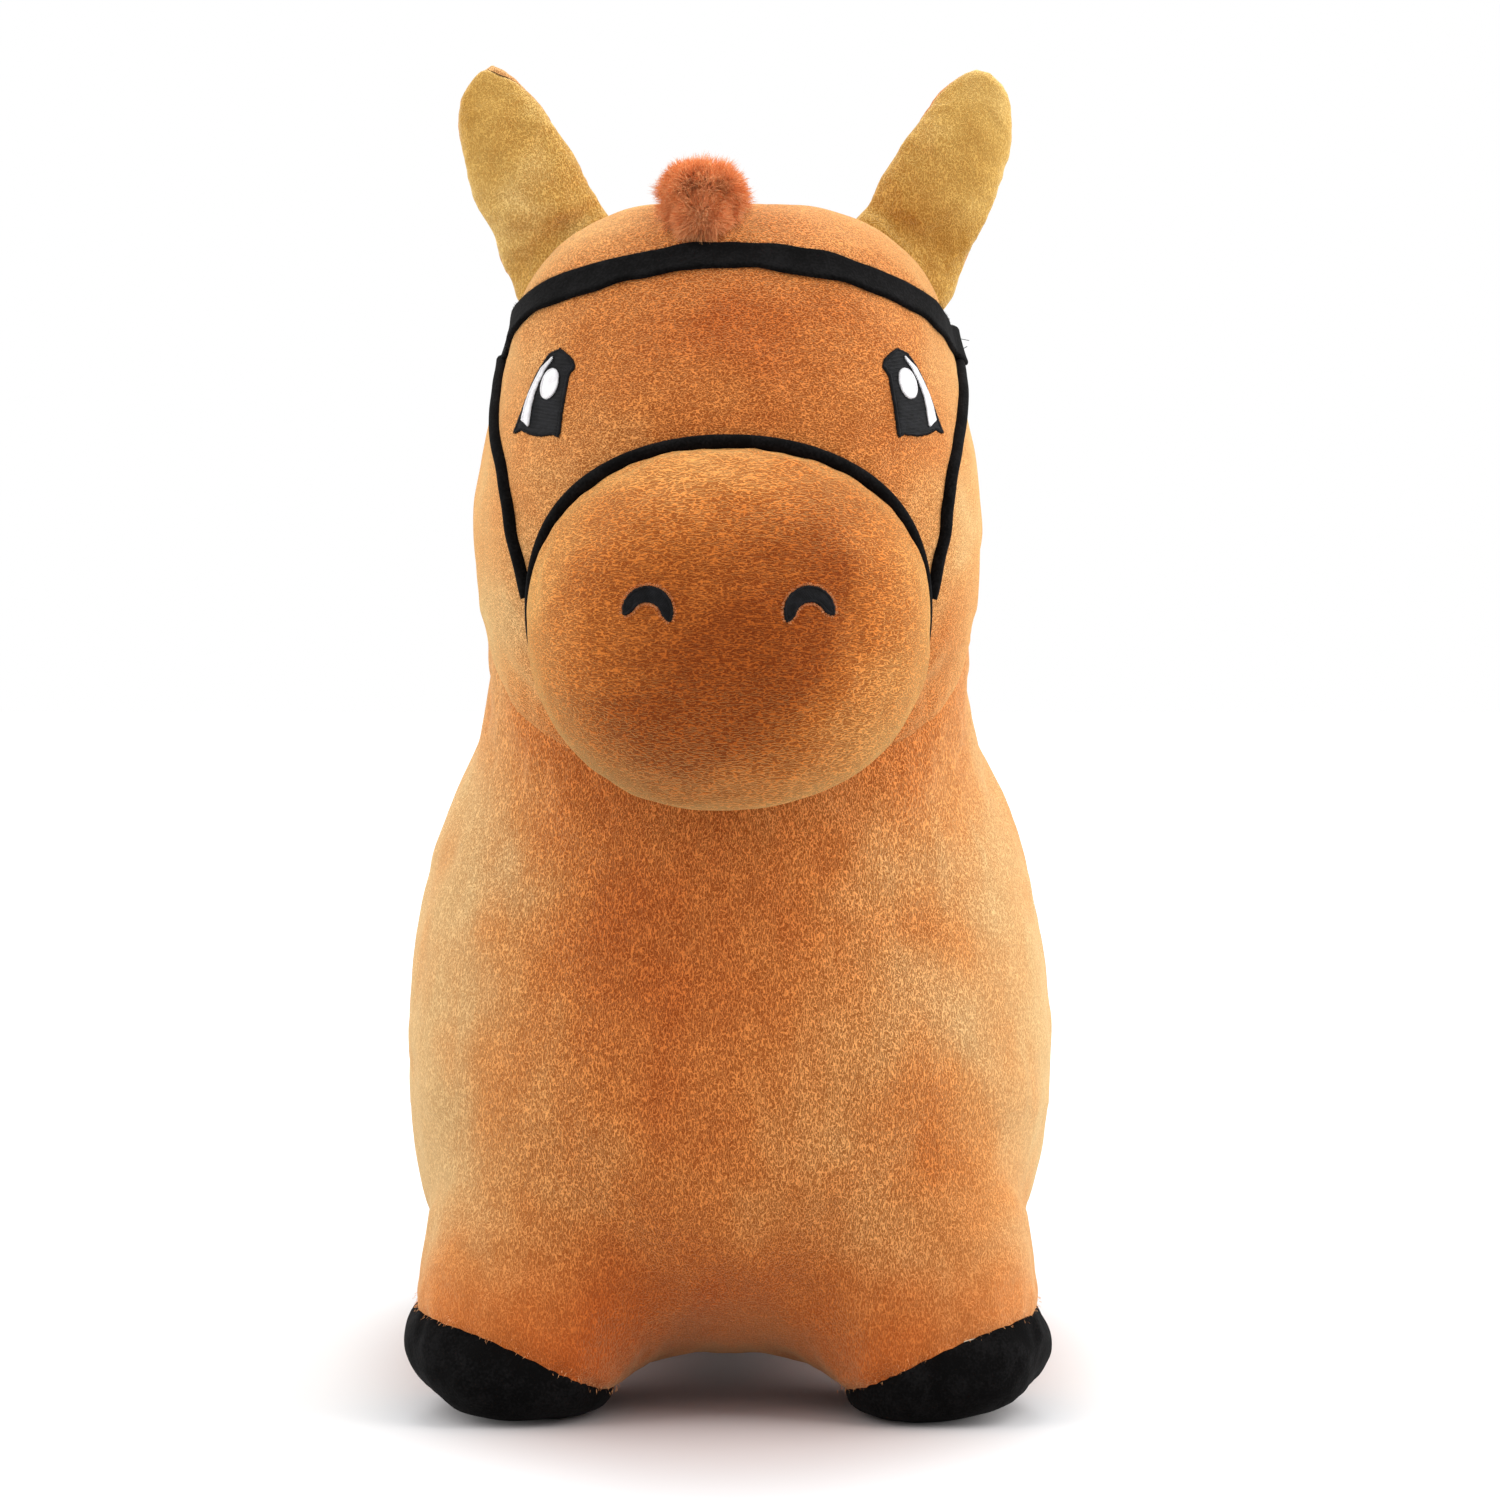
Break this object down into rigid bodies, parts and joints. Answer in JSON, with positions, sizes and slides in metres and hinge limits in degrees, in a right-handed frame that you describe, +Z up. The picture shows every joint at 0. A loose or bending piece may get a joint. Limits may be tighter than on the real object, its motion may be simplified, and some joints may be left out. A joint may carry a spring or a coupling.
{
  "type": "bouncy ride-on horse",
  "caption": "Plush-covered inflatable horse on stubby hooved legs that a small child sits astride and bounces on, with a bridle, mane, tail and zipped belly.",
  "frame": {"origin": "on the floor under the middle of the horse's overall box, level with the soles", "axes": "+Z up, -Y towards the muzzle, +X towards the horse's left, across its width"},
  "size_m": [0.268, 0.5735, 0.5535],
  "materials": {
    "orange_plush": "matte",
    "gold_plush": "matte",
    "long_pile": "matte",
    "black_plush": "matte",
    "black_thread": "satin",
    "white_thread": "satin",
    "stuffing": "matte",
    "lining": "matte",
    "bladder_vinyl": "gloss",
    "zip_black": "matte",
    "zip_metal": "satin"
  },
  "bodies": {
    "horse": {"body_cover_left": "orange_plush", "body_cover_right": "orange_plush", "head_cover": "orange_plush", "muzzle_cover": "orange_plush", "head_filling": "stuffing", "neck_partition": "lining", "air_bladder": "bladder_vinyl", "bladder_leg_front_left": "bladder_vinyl", "bladder_leg_front_right": "bladder_vinyl", "bladder_leg_rear_left": "bladder_vinyl", "bladder_leg_rear_right": "bladder_vinyl", "leg_cover_front_left": "orange_plush", "leg_cover_front_right": "orange_plush", "leg_cover_rear_left": "orange_plush", "leg_cover_rear_right": "orange_plush", "valve_seat": "bladder_vinyl", "browband": "black_plush", "cheek_strap_left": "black_plush", "cheek_strap_right": "black_plush", "noseband": "black_plush", "crown_strap": "black_plush", "forelock": "long_pile", "mane": "long_pile", "eye_patch_left": "black_thread", "eye_patch_right": "black_thread", "eye_white_left": "white_thread", "eye_white_right": "white_thread", "eye_glint_left": "white_thread", "eye_glint_right": "white_thread", "nostril_left": "black_thread", "nostril_right": "black_thread", "zip_tape_left": "zip_black", "zip_tape_right": "zip_black", "zip_teeth_left": "zip_black", "zip_teeth_right": "zip_black", "zip_stop_front": "zip_metal", "zip_stop_rear": "zip_metal"},
    "hoof_front_left": {"hoof_front_left": "black_plush"},
    "hoof_front_right": {"hoof_front_right": "black_plush"},
    "hoof_rear_left": {"hoof_rear_left": "black_plush"},
    "hoof_rear_right": {"hoof_rear_right": "black_plush"},
    "ear_left": {"ear_front_left": "gold_plush", "ear_back_left": "orange_plush", "ear_filling_left": "stuffing"},
    "ear_right": {"ear_front_right": "gold_plush", "ear_back_right": "orange_plush", "ear_filling_right": "stuffing"},
    "tail_tape": {"tail_tape": "black_plush"},
    "tail_hair": {"tail_hair": "long_pile"},
    "zip_slider": {"zip_slider": "zip_metal"},
    "zip_pull": {"zip_pull": "zip_metal"},
    "valve_plug": {"valve_plug": "bladder_vinyl"}
  },
  "joints": [
    {"name": "front_left_leg_squash", "type": "slide", "parent": "horse", "child": "hoof_front_left", "axis": [0, 0, 1], "range_m": [0, 0.006], "stiffness_N_per_m": 5000, "springref_m": -0.004, "deforming": ["leg_cover_front_left", "bladder_leg_front_left"]},
    {"name": "front_right_leg_squash", "type": "slide", "parent": "horse", "child": "hoof_front_right", "axis": [0, 0, 1], "range_m": [0, 0.006], "stiffness_N_per_m": 5000, "springref_m": -0.004, "deforming": ["leg_cover_front_right", "bladder_leg_front_right"]},
    {"name": "rear_left_leg_squash", "type": "slide", "parent": "horse", "child": "hoof_rear_left", "axis": [0, 0, 1], "range_m": [0, 0.006], "stiffness_N_per_m": 5000, "springref_m": -0.004, "deforming": ["leg_cover_rear_left", "bladder_leg_rear_left"]},
    {"name": "rear_right_leg_squash", "type": "slide", "parent": "horse", "child": "hoof_rear_right", "axis": [0, 0, 1], "range_m": [0, 0.006], "stiffness_N_per_m": 5000, "springref_m": -0.004, "deforming": ["leg_cover_rear_right", "bladder_leg_rear_right"]},
    {"name": "left_ear_flop", "type": "hinge", "parent": "horse", "child": "ear_left", "pos_m": [0.0729, -0.105, 0.4719], "axis": [0.7146, 0, -0.6996], "range_deg": [-12, 12], "stiffness_Nm_per_rad": 0.08},
    {"name": "right_ear_flop", "type": "hinge", "parent": "horse", "child": "ear_right", "pos_m": [-0.0675, -0.105, 0.4719], "axis": [-0.7146, 0, -0.6996], "range_deg": [-12, 12], "stiffness_Nm_per_rad": 0.08},
    {"name": "tail_lift", "type": "hinge", "parent": "horse", "child": "tail_tape", "pos_m": [0, 0.249, 0.21947], "axis": [1, 0, 0], "range_deg": [0, 60]},
    {"name": "tail_sway", "type": "hinge", "parent": "tail_tape", "child": "tail_hair", "pos_m": [0, 0.265, 0.21947], "axis": [0, 1, 0], "range_deg": [-30, 30]},
    {"name": "zip_travel", "type": "slide", "parent": "horse", "child": "zip_slider", "axis": [0, -1, 0], "range_m": [0, 0.18]},
    {"name": "zip_pull_swing", "type": "hinge", "parent": "zip_slider", "child": "zip_pull", "pos_m": [0, 0.1064, 0.0157], "axis": [1, 0, 0], "range_deg": [-80, 80]},
    {"name": "valve_plug_pull", "type": "slide", "parent": "horse", "child": "valve_plug", "axis": [0, 0, -1], "range_m": [0, 0.009]}
  ]
}
